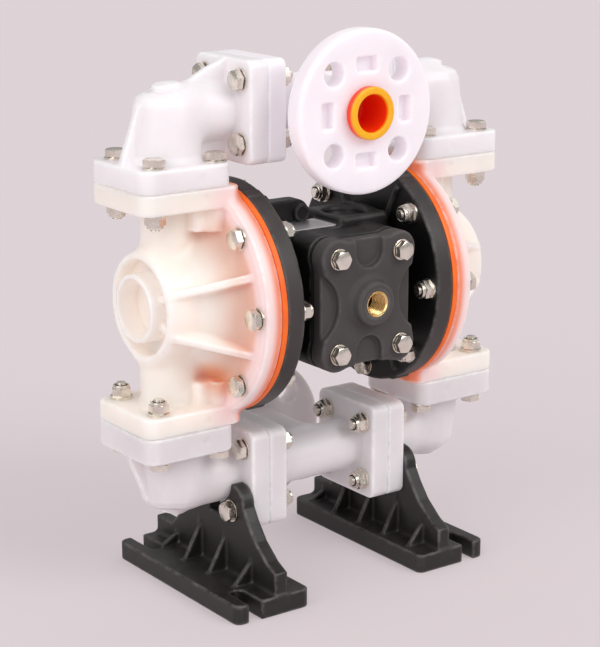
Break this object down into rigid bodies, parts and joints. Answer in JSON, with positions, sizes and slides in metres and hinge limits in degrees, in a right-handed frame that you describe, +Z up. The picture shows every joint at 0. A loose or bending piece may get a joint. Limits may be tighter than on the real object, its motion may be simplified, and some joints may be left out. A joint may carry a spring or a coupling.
{
  "type": "air operated double diaphragm pump",
  "caption": "Air operated double diaphragm pump with side fluid covers, ball check valves, flanged manifolds, front air valve and slotted feet.",
  "frame": {"origin": "on the floor under the middle of the pump: the centre of the base plane of its bounding box", "axes": "+Z up, +X along the diaphragm shaft to the right cover, -Y towards the air valve and the discharge flange"},
  "size_m": [0.26, 0.146, 0.3377],
  "materials": {
    "natural_polypropylene": "translucent natural, satin",
    "black_plastic": "fine moulded grain",
    "orange_elastomer": "matte",
    "black_rubber": "matte",
    "stainless_steel": "bright",
    "brass": "machined",
    "aluminium": "machined",
    "white_ptfe": "smooth",
    "yellow_plastic": "moulded"
  },
  "bodies": {
    "pump_body": {"center_block": "black_plastic", "air_chamber_left": "black_plastic", "air_chamber_right": "black_plastic", "diaphragm_left": "orange_elastomer", "diaphragm_right": "orange_elastomer", "fluid_cover_left": "natural_polypropylene", "fluid_cover_right": "natural_polypropylene", "discharge_elbow_left": "natural_polypropylene", "discharge_elbow_right": "natural_polypropylene", "discharge_tee": "natural_polypropylene", "suction_elbow_left": "natural_polypropylene", "suction_elbow_right": "natural_polypropylene", "suction_tee": "natural_polypropylene", "discharge_seat_left": "white_ptfe", "discharge_seat_right": "white_ptfe", "suction_seat_left": "white_ptfe", "suction_seat_right": "white_ptfe", "foot_left": "black_plastic", "foot_right": "black_plastic", "valve_body": "black_plastic", "valve_gasket": "black_rubber", "valve_cover": "black_plastic", "air_inlet_insert": "brass", "spool_sleeve": "aluminium", "valve_end_plugs": "black_plastic", "shaft_bushes": "brass", "shaft_seals": "black_rubber", "silencer": "black_plastic", "valve_cover_bolts": "stainless_steel", "chamber_bolts_left": "stainless_steel", "chamber_bolts_right": "stainless_steel", "chamber_nuts_left": "stainless_steel", "chamber_nuts_right": "stainless_steel", "discharge_port_bolts": "stainless_steel", "discharge_port_nuts": "stainless_steel", "suction_port_bolts": "stainless_steel", "suction_port_nuts": "stainless_steel", "discharge_manifold_bolts": "stainless_steel", "discharge_manifold_nuts": "stainless_steel", "suction_manifold_bolts": "stainless_steel", "suction_manifold_nuts": "stainless_steel"},
    "shaft_assembly": {"shaft": "stainless_steel", "inner_plate_left": "aluminium", "inner_plate_right": "aluminium", "outer_plate_left": "natural_polypropylene", "outer_plate_right": "natural_polypropylene"},
    "pilot_rod": {"pilot_rod": "stainless_steel"},
    "valve_spool": {"valve_spool": "aluminium"},
    "discharge_ball_left": {"discharge_ball_left": "white_ptfe"},
    "discharge_ball_right": {"discharge_ball_right": "white_ptfe"},
    "suction_ball_left": {"suction_ball_left": "white_ptfe"},
    "suction_ball_right": {"suction_ball_right": "white_ptfe"},
    "discharge_plug": {"discharge_plug": "yellow_plastic"},
    "suction_plug": {"suction_plug": "yellow_plastic"}
  },
  "joints": [
    {"name": "shaft_stroke", "type": "slide", "parent": "pump_body", "child": "shaft_assembly", "axis": [1, 0, 0], "range_m": [-0.008, 0.008], "stiffness_N_per_m": 400, "deforming": ["diaphragm_left", "diaphragm_right"]},
    {"name": "pilot_travel", "type": "slide", "parent": "pump_body", "child": "pilot_rod", "axis": [1, 0, 0], "range_m": [-0.002, 0.002]},
    {"name": "spool_travel", "type": "slide", "parent": "pump_body", "child": "valve_spool", "axis": [1, 0, 0], "range_m": [-0.004, 0.004]},
    {"name": "discharge_ball_left_lift", "type": "slide", "parent": "pump_body", "child": "discharge_ball_left", "axis": [0, 0, 1], "range_m": [0, 0.004]},
    {"name": "discharge_ball_right_lift", "type": "slide", "parent": "pump_body", "child": "discharge_ball_right", "axis": [0, 0, 1], "range_m": [0, 0.004]},
    {"name": "suction_ball_left_lift", "type": "slide", "parent": "pump_body", "child": "suction_ball_left", "axis": [0, 0, 1], "range_m": [0, 0.004]},
    {"name": "suction_ball_right_lift", "type": "slide", "parent": "pump_body", "child": "suction_ball_right", "axis": [0, 0, 1], "range_m": [0, 0.004]},
    {"name": "discharge_plug_pull", "type": "slide", "parent": "pump_body", "child": "discharge_plug", "axis": [0, -1, 0], "range_m": [0, 0.016]},
    {"name": "suction_plug_pull", "type": "slide", "parent": "pump_body", "child": "suction_plug", "axis": [0, 1, 0], "range_m": [0, 0.016]}
  ],
  "couplings": [
    {"joint": "pilot_travel", "follows": "shaft_stroke", "ratio": 0.25}
  ]
}
